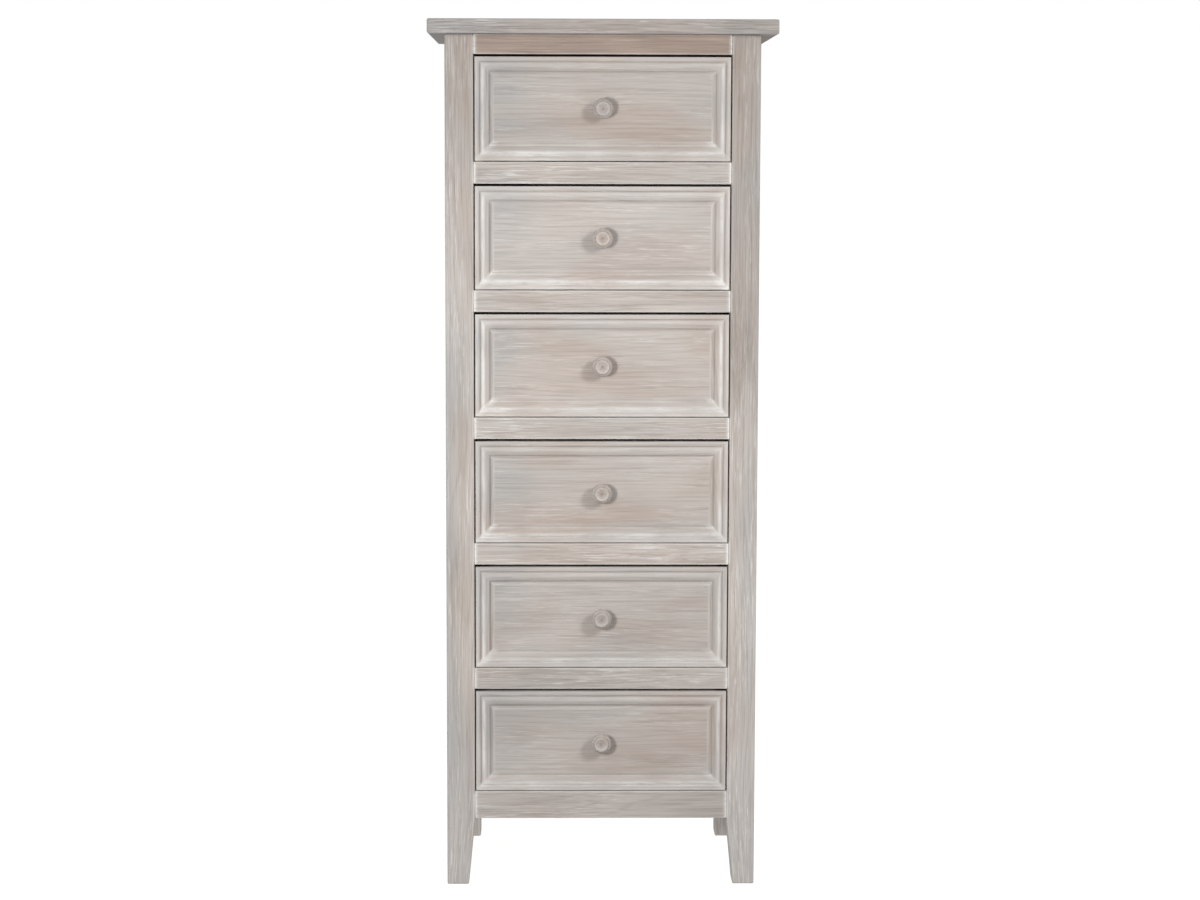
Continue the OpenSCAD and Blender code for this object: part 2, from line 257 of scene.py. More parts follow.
def top_wash_and_light(points, axis, level, seed):
    """The top board is cooler at its left end, and its top and underside are paler than its
    edges: painted light that lifts the shaded underside of the overhang.
    """
    left_end = 1 - smooth(points[:, X], -0.2, -0.08)
    lo, hi = (np.array(corner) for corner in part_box("top"))
    from_edge = np.minimum(points - lo, hi - points)[:, :Z].min(1)
    # Painted light on the top and underside, for the shaded underside of the overhang.
    face = smooth(from_edge, 1 * MM, 6 * MM)
    return lighten(wash_of(points, axis, level, seed, cool=0.8 * left_end), 1 + 0.15 * face)


def top_rail_wash_and_shade(points, axis, level, seed):
    """The rail under the top board kept the least lime, and is the brownest and patchiest; part
    of its darkness is painted shade from the top board's overhang.
    """
    streaks = patches(points * (0.3, 1.0, 1.0), 0.015, seed + 11)
    return lighten(wash_of(points, axis, level, seed, warm=1.0), 0.92 + 0.16 * streaks)


def front_wash(points, centre, level, seed):
    """Drawer fronts are cooler at the left end, and warmer low in the middle."""
    across = points[:, X] - centre[X]
    up = points[:, Z] - centre[Z]
    left_end = (1 - smooth(across, -0.14, -0.07)) * smooth(up, -0.07, 0.02)
    low_middle = peak(across, 0.045, 0.085) * peak(up, -0.028, 0.024)
    return wash_of(points, X, level, seed, cool=0.85 * left_end, warm=0.9 * low_middle)


def along_grain(points, axis, seed):
    """Texture place of each point: first along the grain, then the two ways across it."""
    draw = random.Random(seed)
    pith = draw.uniform(0.03, 0.09) * draw.choice((-1, 1))
    offset = [draw.uniform(0, 40), draw.uniform(-0.05, 0.05), pith]
    return points[:, GRAIN_ORDER[axis]] + np.array(offset)


# ---- Boards ----

def cut_box(node, within):
    """The node's box as two arrays, cut to those ranges along its axes."""
    lo, hi = (np.array(corner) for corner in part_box(node))
    for axis, low, high in within:
        lo[axis] = max(lo[axis], low)
        hi[axis] = min(hi[axis], high)
    return lo, hi


def board_surface(lo, hi, axis, radius, across, joints):
    """Points and faces of a box, with lines of points on each side of its glue joints."""
    along_step, across_step = 6 * MM, 24 * MM
    steps = [across_step] * 3
    steps[axis] = along_step
    extra = [[], [], []]
    extra[across] = [joint + side * 0.15 * MM for joint in joints for side in (-1, 0, 1)]
    return weld(box_sheets(*[stops(lo[a], hi[a], radius, steps[a], extra[a])
                             for a in (X, Y, Z)]))


def sink_seams(worn, points, distance, lo, hi, across, joints):
    """Glue joints sink a little into the faces of a board."""
    flat = distance > 2 * MM
    for joint in joints:
        seam = peak(points[:, across], joint, 0.2 * MM)
        sunk = np.clip(worn, lo + MM, hi - MM)
        worn[flat] += (sunk - worn)[flat] * (0.2 * seam[flat, None])


def board(name, node, slot, material, axis, radius, level=1.0, within=(), staves=(Y, ()),
          lime_and_highlight=0.6, lime_and_highlight_at=None, end_lime=0.0, bare=0.0, shape=None, wash=wash_of):
    """A carcass board with rounded and worn edges that stands for a CAD node.

    axis is the way of its grain, and level is how light its wash is. within cuts it to the part
    between its neighbours, so its tenons or tongues are left out. staves are the axis and the
    places, from 0 to 1, where glued boards meet. lime_and_highlight_at says where on its edges
    there is white lime, partly a painted highlight on the arrises, and end_lime is what the
    joints at both ends kept. bare is how far the wash has worn off. shape moves the finished
    points.
    """
    lo, hi = cut_box(node, within)
    seed = sum(ord(c) * (i + 1) for i, c in enumerate(name)) % 997
    across, places = staves
    joints = [lo[across] + (hi - lo)[across] * share for share in places]
    points, faces = board_surface(lo, hi, axis, radius, across, joints)
    distance = arris_distance(points, lo, hi)

    grain = along_grain(points, axis, seed)
    for joint in joints:
        grain[points[:, across] > joint, :] += (3.7, 0.031, 0.017)

    centre = np.clip(points, lo + 3 * radius, hi - 3 * radius)
    worn = wear_down(round_off(points, lo, hi, radius), centre, distance, seed)
    sink_seams(worn, points, distance, lo, hi, across, joints)
    piece = new_piece(name, shape(worn) if shape else worn, faces)

    # White lime along the arrises, partly a painted highlight on them.
    edge_lime_and_highlight = lime_and_highlight * peak(distance, 0, 1.6 * MM)
    if lime_and_highlight_at:
        edge_lime_and_highlight *= lime_and_highlight_at(points)
    to_end = np.minimum(points[:, axis] - lo[axis], hi[axis] - points[:, axis])
    edge_lime_and_highlight = np.maximum(edge_lime_and_highlight, end_lime * peak(to_end, 0, 3.0 * MM))
    no_painted_shade = np.zeros(len(points))
    store(piece, grain, edge_lime_and_highlight, no_painted_shade, bare, wash(points, axis, level, seed))
    weigh_normals(piece)
    place(piece, "carcass", node, material)


def taper_leg(side):
    """The foot of a front leg narrows on its inner face. side is 1 for the right leg."""
    def shape(points):
        down = np.clip(1 - points[:, Z] / FLOOR_GAP, 0, 1)
        scale = 1 - down * (1 - FOOT_W / (POST_OUTER - POST_INNER))
        moved = points.copy()
        moved[:, X] = side * POST_OUTER + (points[:, X] - side * POST_OUTER) * scale
        return moved
    return shape


def beside_rails(points):
    """The inner arris of a post gets the most white lime where the rails meet it, partly a
    painted highlight along that arris.
    """
    near_rails = np.abs(points[:, X]) < (POST_INNER + POST_OUTER) / 2
    amount = np.full(len(points), 0.3)
    for node in FRONT_RAILS:
        lo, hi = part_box(node)
        amount[near_rails & (points[:, Z] > lo.z) & (points[:, Z] < hi.z)] = 1.5
    return amount


# ---- Drawer fronts ----

def moulding_profile():
    """The moulding from the edge inwards: pairs of inset and depth behind the face."""
    arris = [(0.0, 1.2), (0.35, 0.35), (1.2, 0.0)]
    lip = [(3.0, 0.0), (5.2, 0.0), (6.2, 0.25), (6.6, 0.8), (6.9, 1.5), (7.3, 1.7)]
    crown, radius = 13.0, 12.0
    bead = []
    for inset in np.linspace(7.8, 19.3, 14):
        bead.append((inset, radius - math.sqrt(radius ** 2 - (inset - crown) ** 2) - 0.05))
    groove = [(19.7, 2.5), (20.2, 2.95), (21.0, 3.05), (21.8, 2.85), (23.2, 2.3),
              (24.8, 1.5), (25.6, 1.1)]
    field = [(inset, 1.0) for inset in (26.0, 27.0, 28.2, 30.0)]
    return [(inset * MM, depth * MM) for inset, depth in arris + lip + bead + groove + field]


def inset_places(xs, zs, inset, box):
    """Where xs and zs, from 0 to 1, fall between the box's edges at that inset."""
    (x0, _, z0), (x1, _, z1) = box
    return (x0 + inset + (x1 - x0 - 2 * inset) * xs,
            z0 + inset + (z1 - z0 - 2 * inset) * zs)


def ring(xs, zs, inset, depth, box):
    """Points once round a rectangle parallel to the front."""
    px, pz = inset_places(xs, zs, inset, box)
    y = box[0][Y] + depth
    bottom = [(x, y, pz[0]) for x in px]
    right = [(px[-1], y, z) for z in pz[1:]]
    top = [(x, y, pz[-1]) for x in px[-2::-1]]
    left = [(px[0], y, z) for z in pz[-2::-1]]
    return bottom + right + top + left


def flat_sheet(px, y, pz):
    """A flat grid of points parallel to the front."""
    sheet = np.empty((len(px), len(pz), 3))
    sheet[..., X] = px[:, None]
    sheet[..., Y] = y
    sheet[..., Z] = pz[None, :]
    return sheet


def strip(start, end, y_start, y_end):
    """A strip from one line of (x, z) points to another."""
    return np.array([[(x, y_start, z) for x, z in start], [(x, y_end, z) for x, z in end]])


def front_sheets(box, profile):
    """Moulded face, edges, rebated ends and back of a drawer front."""
    lap = SIDE_LAP / (box[1][X] - box[0][X])
    xs = np.concatenate([[0.0], np.linspace(lap, 1 - lap, 57), [1.0]])
    zs = np.linspace(0, 1, 25)
    y_lap = box[0][Y] + LAP_DEPTH
    y_back = box[1][Y]
    rings = [ring(xs, zs, inset, depth, box) for inset, depth in reversed(profile)]
    rings += [ring(xs, zs, 0, depth, box) for depth in (5 * MM, LAP_DEPTH)]
    yield np.array(rings)
    px, pz = inset_places(xs, zs, FLAT_FIELD, box)
    yield flat_sheet(px, box[0][Y] + FIELD_DROP, pz)
    px, pz = inset_places(xs, zs, 0, box)
    inner = px[1:-1]
    for edge_x, cut_x in ((px[0], inner[0]), (px[-1], inner[-1])):
        edge = [(edge_x, z) for z in pz]
        cut = [(cut_x, z) for z in pz]
        yield strip(edge, cut, y_lap, y_lap)
        yield strip(cut, cut, y_lap, y_back)
    for edge_z in (pz[0], pz[-1]):
        edge = [(x, edge_z) for x in inner]
        yield strip(edge, edge, y_lap, y_back)
    yield flat_sheet(inner, y_back, pz)


def front_marks(points, box, seed):
    """White lime on the high lines of the moulding, partly a painted highlight, and painted
    shade in its grooves.
    """
    from_left, from_bottom = points[:, X] - box[0][X], points[:, Z] - box[0][Z]
    from_right, from_top = box[1][X] - points[:, X], box[1][Z] - points[:, Z]
    from_side = np.minimum(from_left, from_right)
    from_end = np.minimum(from_bottom, from_top)
    to_edge = np.minimum(from_side, from_end)
    rounding = 1e-6
    bottom, top, right = (near <= to_edge + rounding
                          for near in (from_bottom, from_top, from_right))
    mitre = peak(np.abs(from_side - from_end), 0, 1.5 * MM) * (to_edge < MOULDING_W)

    # White lime on the lip, the bead and the field edge, partly a painted highlight on these
    # high lines.
    lime_and_highlight = 0.6 * peak(to_edge, LIP, 1.8 * MM)
    lime_and_highlight += 0.85 * peak(to_edge, BEAD, 2.6 * MM)
    lime_and_highlight += 0.4 * peak(to_edge, FIELD_EDGE, 1.2 * MM)
    lime_and_highlight += 0.5 * mitre
    # Painted light: the bottom strip's quirk and groove are made white where light from above
    # reaches them, and the top strip is made less white, as it lies in the rail's shade.
    lime_and_highlight += bottom * 0.6 * peak(to_edge, QUIRK, 1.5 * MM)
    lime_and_highlight += bottom * 0.4 * peak(to_edge, PAINTED_LIGHT_GROOVE, 2 * MM)
    lime_and_highlight *= 1 - 0.6 * top
    # Painted shade in the quirk and the groove: full on the left strip, less on the top and
    # right strips and faint on the bottom one, as the light falls.
    painted_shade = 0.5 * peak(to_edge, QUIRK, 0.7 * MM) + 0.75 * peak(to_edge, GROOVE, 1.0 * MM)
    painted_shade *= 1 - 0.9 * bottom - 0.45 * top - 0.45 * right

    broken = 0.55 + 0.8 * patches(points, 0.04, seed)
    face = points[:, Y] < box[0][Y] + 5 * MM
    return np.where(face, lime_and_highlight * broken, 0.0), np.where(face, painted_shade * (1.5 - 0.5 * broken), 0.0)


def front_grain(piece, points, box, seed):
    """Grain for each face corner: across the field, and along each mitred strip.

    Corners and not points carry it, so that it turns sharply at the mitres.
    """
    mesh = piece.data
    corner_points = np.empty(len(mesh.loops), int)
    mesh.loops.foreach_get("vertex_index", corner_points)
    corners = np.empty(len(mesh.polygons), int)
    mesh.polygons.foreach_get("loop_total", corners)
    centres = np.empty(len(mesh.polygons) * 3)
    mesh.polygons.foreach_get("center", centres)
    centres = centres.reshape(-1, 3)
    from_side = np.minimum(centres[:, X] - box[0][X], box[1][X] - centres[:, X])
    from_end = np.minimum(centres[:, Z] - box[0][Z], box[1][Z] - centres[:, Z])
    upright = (from_side < from_end) & (from_side < MOULDING_W)
    level_strip = (from_end <= from_side) & (from_end < MOULDING_W)
    field_grain = along_grain(points, X, seed)
    upright_grain = along_grain(points, Z, seed + 50)
    upright_grain += np.where(points[:, X:X + 1] > 0, 5.3, 0.0)
    level_grain = along_grain(points, X, seed + 100)
    kind = np.repeat(upright * 1 + level_strip * 2, corners)
    return np.array([field_grain, upright_grain, level_grain])[kind, corner_points]


def drawer_front(i, material, level):
    """The moulded front of drawer i. level is how light its wash is."""
    node = f"drawer_{i}_front"
    box = [np.array(corner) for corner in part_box(node)]
    points, faces = weld(front_sheets(box, moulding_profile()))
    lime_and_highlight, painted_shade = front_marks(points, box, seed=60 + i)
    distance = arris_distance(points, box[0], box[1])
    centre = np.clip(points, box[0] + 5 * MM, box[1] - 5 * MM)
    worn = wear_down(points, centre, distance, seed=80 + i, depth=0.2 * MM)
    piece = new_piece(f"drawer_{i}_moulded_front", worn, faces)
    grain = front_grain(piece, points, box, seed=40 + i)
    middle = (box[0] + box[1]) / 2
    store(piece, grain, lime_and_highlight, painted_shade, 0.0, front_wash(points, middle, level, seed=20 + i))
    weigh_normals(piece)
    place(piece, f"drawer_{i}", node, material)


# ---- Knobs ----

def arc(centre, radii, start, end, count):
    """Points along part of an ellipse, from one angle to another in degrees."""
    angles = np.radians(np.linspace(start, end, count))
    return [(centre[0] + radii[0] * math.cos(a), centre[1] + radii[1] * math.sin(a))
            for a in angles]


def knob_profile(length, radius):
    """Radius and height of a turned knob, from its foot to the middle of its face."""
    foot = [(0.0, 0.0), (8.6, 0.0), (9.0, 0.5), (9.0, 2.6), (8.7, 3.3)]
    neck = arc((14.0, 8.5), (7.0, 7.0), 222, 128, 12)
    under = [(11.4, 15.3), (13.0, 15.9), (13.8, 16.6)]
    flank = arc((7.0, 17.4), (7.0, 9.0), 0, 64, 12)
    ring_top = arc((8.4, 25.8), (1.6, 1.2), 10, 150, 8)
    dish = arc((2.0, 25.95), (4.2, 1.0), -12, -90, 6)
    dimple = [(1.3, 24.8), (0.7, 24.35), (0.0, 24.15)]
    outline = foot + neck + under + flank + ring_top + dish + dimple
    widest = max(r for r, _ in outline)
    tallest = max(h for _, h in outline)
    return [(r / widest * radius, h / tallest * length) for r, h in outline]


def turned(centre, foot_y, profile):
    """Points and faces of a profile turned round an axis that points out of the front."""
    turns = np.linspace(0, 2 * math.pi, 65)
    turns[-1] = 0.0
    sheet = np.empty((len(profile), len(turns), 3))
    for row, (radius, height) in enumerate(profile):
        sheet[row, :, X] = centre.x + radius * np.cos(turns)
        sheet[row, :, Y] = foot_y - height
        sheet[row, :, Z] = centre.z + radius * np.sin(turns)
    return weld([sheet])


def knob_marks(away, height, length):
    """Lime on the ring, partly a painted highlight, painted light on the rim's turn, and painted
    shade in the dimple and round the foot.
    """
    ring_at, rim_from, rim_to = 7.6 * MM, 10.5 * MM, 12.5 * MM
    dimple_w = 2.6 * MM
    foot_h = 1.5 * MM
    face = height > 0.85 * length
    # White lime on the raised ring, partly a painted highlight.
    lime_and_highlight = np.where(face, 0.4 * peak(away, ring_at, 2.0 * MM), 0.0)
    # Painted light on the rim's turn, making it paler all round.
    lime_and_highlight += 0.4 * smooth(away, rim_from, rim_to)
    # Painted shade in the dimple and round the foot, where the knob meets the drawer front.
    painted_shade = np.where(face, 0.45 * peak(away, 0.0, dimple_w), 0.0)
    painted_shade += 0.8 * (height < foot_h)
    return lime_and_highlight, painted_shade


def knob(i, material, level):
    """The turned knob of drawer i. level is how light its wash is."""
    node = f"drawer_{i}_knob"
    lo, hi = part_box(node)
    centre = (lo + hi) / 2
    length = hi.y - lo.y
    points, faces = turned(centre, hi.y, knob_profile(length, (hi.x - lo.x) / 2))
    away = np.hypot(points[:, X] - centre.x, points[:, Z] - centre.z)
    lime_and_highlight, painted_shade = knob_marks(away, hi.y - points[:, Y], length)
    piece = new_piece(f"drawer_{i}_turned_knob", points, faces)
    grain = along_grain(points, Y, seed=90 + i)
    store(piece, grain, lime_and_highlight, painted_shade, 0.1, wash_of(points, Y, level, seed=30 + i, warm=0.2))
    place(piece, f"drawer_{i}", node, material)


# ---- Materials ----

def add_node(tree, kind, settings=None, **inputs):
    """A node with its settings, and its inputs set to values or joined to sockets.

    An input goes by its name, or by its number as i0, i1 and so on.
    """
    made = tree.nodes.new(kind)
    for key, value in (settings or {}).items():
        setattr(made, key, value)
    for key, value in inputs.items():
        socket = made.inputs[int(key[1:]) if key[0] == "i" and key[1:].isdigit() else key]
        if isinstance(value, bpy.types.NodeSocket):
            tree.links.new(value, socket)
        else:
            socket.default_value = value
    return made


def maths(tree, operation, a, b=0.0):
    """The result of a sum on one or two values."""
    settings = {"operation": operation}
    return add_node(tree, "ShaderNodeMath", settings, i0=a, i1=b).outputs[0]


def stretched(tree, vector, scale):
    """The vector with each of its parts multiplied."""
    settings = {"operation": "MULTIPLY"}
    return add_node(tree, "ShaderNodeVectorMath", settings, i0=vector, i1=scale).outputs[0]


def noise_at(tree, vector, scale, detail=3.0, roughness=0.55):
    """Noise with that many waves to the metre along each part of the vector."""
    made = add_node(tree, "ShaderNodeTexNoise", None, Vector=stretched(tree, vector, scale),
                    Scale=1.0, Detail=detail, Roughness=roughness)
    return made.outputs["Fac"]


def between(tree, value, low, high, to_low=0.0, to_high=1.0):
    """Maps low..high of a value to to_low..to_high, smoothly and clamped."""
    settings = {"interpolation_type": "SMOOTHSTEP"}
    made = add_node(tree, "ShaderNodeMapRange", settings, i0=value, i1=low, i2=high,
                    i3=to_low, i4=to_high)
    return made.outputs[0]


def mixed(tree, factor, a, b):
    """Colour a where the factor is 0, and b where it is 1."""
    settings = {"data_type": "RGBA", "clamp_factor": True}
    made = add_node(tree, "ShaderNodeMix", settings, i0=factor, i6=a, i7=b)
    return made.outputs[2]


def rgb(red, green, blue):
    """A colour from sRGB values of 0 to 255."""
    def linear(value):
        value /= 255
        return value / 12.92 if value <= 0.04045 else ((value + 0.055) / 1.055) ** 2.4
    return (linear(red), linear(green), linear(blue), 1.0)


# White of the lime, also used for the painted highlight on edges and mouldings.
LIME_AND_HIGHLIGHT_WHITE = rgb(240, 237, 233)
# Colour of the painted shade in the moulding grooves and round the knobs' feet and dimples.
PAINTED_SHADE_COLOUR = rgb(108, 96, 88)
WORN_WOOD = rgb(176, 155, 141)
SAPWOOD = rgb(226, 212, 188)
RING_W = 6.2 * MM


def new_material(name):
    """A material with its node tree and its Principled shader."""
    material = bpy.data.materials.new(name)
    material.use_nodes = True
    return material, material.node_tree, material.node_tree.nodes["Principled BSDF"]


def finish_surface(tree, shader, colour, roughness, height, bump, depth):
    """Joins a colour, a roughness and a bumpy height to the shader."""
    tree.links.new(colour, shader.inputs["Base Color"])
    tree.links.new(roughness, shader.inputs["Roughness"])
    made = add_node(tree, "ShaderNodeBump", None, Strength=bump, Distance=depth, Height=height)
    tree.links.new(made.outputs[0], shader.inputs["Normal"])


def stored(tree, name):
    """A vector that store() wrote on the mesh."""
    return add_node(tree, "ShaderNodeAttribute", {"attribute_name": name}).outputs["Vector"]


def parts_of(tree, vector):
    """The three parts of a vector."""
    return add_node(tree, "ShaderNodeSeparateXYZ", None, i0=vector).outputs


def joined(tree, a, b, c):
    """A vector made of three values."""
    return add_node(tree, "ShaderNodeCombineXYZ", None, i0=a, i1=b, i2=c).outputs[0]


def times(tree, first, *others):
    """The product of several values."""
    for other in others:
        first = maths(tree, "MULTIPLY", first, other)
    return first


def wander(tree, grain):
    """The grain vector, with its fibres made to wander a little."""
    slow = add_node(tree, "ShaderNodeTexNoise", None, Vector=stretched(tree, grain, (4, 9, 9)),
                    Scale=1.0, Detail=2.0, Roughness=0.5).outputs["Color"]
    shift = stretched(tree, slow, (0.0, 0.008, 0.008))
    settings = {"operation": "ADD"}
    return add_node(tree, "ShaderNodeVectorMath", settings, i0=grain, i1=shift).outputs[0]


def growth_rings(tree, grain, width):
    """0 to 0.5 and back across each growth ring of a log whose pith runs along the grain."""
    _, across, deep = parts_of(tree, grain)
    square = maths(tree, "ADD", times(tree, across, across), times(tree, deep, deep))
    radius = maths(tree, "SQRT", square)
    bow = noise_at(tree, grain, (2.2, 6, 6), detail=1.0)
    uneven = noise_at(tree, grain, (0.8, 55, 55), detail=2.0)
    radius = maths(tree, "ADD", radius, times(tree, bow, 0.060))
    radius = maths(tree, "ADD", radius, times(tree, uneven, 0.012))
    turn = maths(tree, "FRACT", maths(tree, "DIVIDE", radius, width))
    return maths(tree, "PINGPONG", turn, 0.5)


def streaky_wash(tree, grain, pale, warm, cool, warm_wash, cool_wash):
    """The wash on the wood, warmer and cooler in streaky patches."""
    streaks = noise_at(tree, grain, (5, 45, 45), detail=4.0, roughness=0.6)
    streaky = between(tree, streaks, 0.35, 0.62, 0.35, 1.0)
    colour = mixed(tree, times(tree, warm_wash, streaky), pale, warm)
    return mixed(tree, times(tree, cool_wash, streaky), colour, cool)


def lime_in_pores(tree, grain, pores, amount):
    """Lime left in the pores, and more of it where it was not wiped off."""
    wiped = noise_at(tree, grain, (7, 40, 40), detail=3.0)
    left = between(tree, wiped, 0.40, 0.60, 0.15, 1.0)
    return times(tree, between(tree, pores, 0.52, 0.62), left, amount)


def lime_and_highlight_on_edges(tree, grain, lime_and_highlight):
    """Lime on edges and mouldings, partly a painted highlight, broken up a little."""
    breaks = noise_at(tree, grain, (45, 260, 260), detail=3.0, roughness=0.7)
    return times(tree, lime_and_highlight, between(tree, breaks, 0.32, 0.60, 0.55, 1.0))


def limed_wood(name, pale, warm, cool, dark, lime_amount, figure):
    """Open-grained wood washed with white lime that stays in the pores and on the edges, where
    it is partly a painted highlight, with painted shade in the grooves.

    pale, warm and cool are the colours of the wash. figure is how strongly the dark streaks
    of the wood show through it.
    """
    material, tree, shader = new_material(name)
    grain = wander(tree, stored(tree, "grain"))
    lime_and_highlight, painted_shade, bare = parts_of(tree, stored(tree, "marks"))
    cool_wash, warm_wash, level = parts_of(tree, stored(tree, "wash"))
    kept = maths(tree, "SUBTRACT", 1.0, bare)
    rings = growth_rings(tree, grain, RING_W)
    band = noise_at(tree, grain, (4, 170, 170), detail=4.0, roughness=0.65)
    fibre = noise_at(tree, grain, (11, 560, 560), detail=4.0, roughness=0.7)
    pores = noise_at(tree, grain, (24, 720, 720), detail=3.0, roughness=0.65)

    colour = streaky_wash(tree, grain, pale, warm, cool, warm_wash, times(tree, cool_wash, kept))
    colour = mixed(tree, bare, colour, WORN_WOOD)
    colour = mixed(tree, between(tree, rings, 0.32, 0.49, 0.0, 0.16), colour, dark)
    colour = mixed(tree, between(tree, fibre, 0.47, 0.66, 0.0, figure), colour, dark)
    colour = mixed(tree, between(tree, band, 0.46, 0.64, 0.0, 0.6 * figure), colour, dark)
    in_pores = times(tree, lime_in_pores(tree, grain, pores, lime_amount), kept)
    edge_lime_and_highlight_mix = lime_and_highlight_on_edges(tree, grain, lime_and_highlight)
    # White lime in the pores, and on the edges lime that is partly a painted highlight.
    colour = mixed(tree, maths(tree, "MAXIMUM", in_pores, edge_lime_and_highlight_mix), colour, LIME_AND_HIGHLIGHT_WHITE)
    # Painted shade, darkening the moulding grooves and round the knobs.
    colour = mixed(tree, times(tree, painted_shade, 0.8), colour, PAINTED_SHADE_COLOUR)
    colour = stretched(tree, colour, joined(tree, level, level, level))

    roughness = between(tree, fibre, 0.3, 0.7, 0.62, 0.80)
    height = maths(tree, "ADD", times(tree, fibre, -0.6), times(tree, pores, -0.4))
    finish_surface(tree, shader, colour, roughness, height, bump=0.3, depth=0.6 * MM)
    shader.inputs["Specular IOR Level"].default_value = 0.3
    return material


def plain_wood(name, axis, light, dark, ring_width, fine=500.0):
    """Unfinished wood for the inner parts, whose grain runs along that axis."""
    material, tree, shader = new_material(name)
    object_place = add_node(tree, "ShaderNodeTexCoord").outputs["Object"]
    parts = parts_of(tree, object_place)
    grain = wander(tree, joined(tree, *[parts[a] for a in GRAIN_ORDER[axis]]))
    rings = growth_rings(tree, grain, ring_width)
    fibre = noise_at(tree, grain, (12, fine, fine), detail=4.0, roughness=0.7)
    patch = noise_at(tree, grain, (2, 9, 9), detail=2.0)

    colour = mixed(tree, between(tree, rings, 0.30, 0.49, 0.0, 0.5), light, dark)
    colour = mixed(tree, between(tree, fibre, 0.42, 0.75, 0.0, 0.35), colour, dark)
    colour = mixed(tree, between(tree, patch, 0.35, 0.7, 0.0, 0.22), colour, SAPWOOD)
    roughness = between(tree, fibre, 0.3, 0.7, 0.55, 0.75)
    finish_surface(tree, shader, colour, roughness, fibre, bump=0.2, depth=0.4 * MM)
    shader.inputs["Specular IOR Level"].default_value = 0.35
    return material


def zinc_plate(name):
    """Zinc-plated steel with dull spots."""
    material, tree, shader = new_material(name)
    object_place = add_node(tree, "ShaderNodeTexCoord").outputs["Object"]
    spots = noise_at(tree, object_place, (900, 900, 900), detail=3.0)
    colour = mixed(tree, between(tree, spots, 0.4, 0.7), rgb(196, 197, 199), rgb(158, 159, 160))
    roughness = between(tree, spots, 0.35, 0.7, 0.28, 0.5)
    finish_surface(tree, shader, colour, roughness, spots, bump=0.2, depth=0.1 * MM)
    shader.inputs["Metallic"].default_value = 1.0
    return material


def give(node, material):
    """A CAD node keeps its shape and gets a finished material."""
    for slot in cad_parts[node].material_slots:
        slot.material = material


# ---- Building ----

frame_colours = (rgb(198, 190, 183), rgb(184, 168, 157), rgb(186, 184, 182),
                 rgb(136, 124, 115))
frame_wood = limed_wood("limed_frame_wood", *frame_colours, lime_amount=0.5, figure=0.42)
post_wood = limed_wood("limed_post_wood", *frame_colours, lime_amount=0.4, figure=0.32)
front_wood = limed_wood("limed_front_wood", rgb(205, 197, 190), rgb(194, 178, 167),
                        rgb(190, 188, 186), rgb(142, 130, 122), lime_amount=0.32, figure=0.24)
top_wood = limed_wood("limed_top_wood", rgb(184, 175, 168), rgb(172, 160, 152),
                      rgb(170, 170, 171), rgb(112, 104, 98), lime_amount=0.5, figure=0.55)
knob_wood = limed_wood("limed_knob_wood", rgb(200, 190, 182), rgb(186, 171, 161),
                       rgb(186, 182, 180), rgb(136, 122, 113), lime_amount=0.4, figure=0.3)
back_ply = limed_wood("limed_back_ply", rgb(190, 181, 171), rgb(182, 164, 148),
                      rgb(182, 179, 174), rgb(142, 126, 112), lime_amount=0.3, figure=0.5)
box_wood_x = plain_wood("box_wood_x", X, rgb(212, 196, 170), rgb(180, 155, 122), 6 * MM)
box_wood_y = plain_wood("box_wood_y", Y, rgb(210, 193, 167), rgb(177, 152, 119), 6.5 * MM)
ply = plain_wood("plywood_face", X, rgb(206, 187, 158), rgb(180, 157, 126), 16 * MM, fine=260.0)
zinc = zinc_plate("zinc_plate")

# How light each rail and each drawer is made, from the top down. They match measured brightness,
# so besides the wash they hold painted shade where less light fell, most at the top and the
# bottom.
RAIL_LEVELS = (0.82, 0.92, 0.95, 0.97, 0.99, 0.89, 0.88)
DRAWER_LEVELS = (0.80, 0.91, 0.90, 0.86, 0.83, 0.82)


def build_top():
    """The top board, greyer than the rest."""
    board("top_board", "top", "limed_top_wood", top_wood, X, 2.5 * MM, level=0.87,
          staves=(Y, (0.34, 0.67)), lime_and_highlight=0.3, wash=top_wash_and_light)


def build_side(side, name, wash):
    """The posts of one side and the board between them. side is 1 for the right."""
    front_to_back = (Y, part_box("front_leg_right")[1].y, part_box("back_leg_right")[0].y)
    board(f"front_post_{name}", f"front_leg_{name}", "limed_frame_wood", post_wood, Z,
          2.0 * MM, level=0.98, lime_and_highlight_at=beside_rails, shape=taper_leg(side), wash=wash)
    # The back posts are made paler than the front ones: painted light, standing in for light
    # that reaches them from behind and below.
    board(f"back_post_{name}", f"back_leg_{name}", "limed_frame_wood", post_wood, Z,
          2.0 * MM, level=1.08, wash=wash)
    board(f"side_board_{name}", f"side_panel_{name}", "limed_frame_wood", frame_wood, Z,
          0.6 * MM, within=[front_to_back], staves=(Y, (0.36, 0.70)), end_lime=0.4)


def build_back():
    """The plywood back and the rails above and below it."""
    between_posts = (X, -POST_INNER, POST_INNER)
    low_to_high = (Z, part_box("back_bottom_rail")[1].z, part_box("back_top_rail")[0].z)
    board("back_board", "back_panel", "plywood", back_ply, Z, 0.4 * MM, lime_and_highlight=0.0,
          within=[between_posts, low_to_high])
    for name in ("back_top_rail", "back_bottom_rail"):
        board(f"{name}_bar", name, "limed_frame_wood", frame_wood, X, 1.0 * MM,
              within=[between_posts], end_lime=0.6)


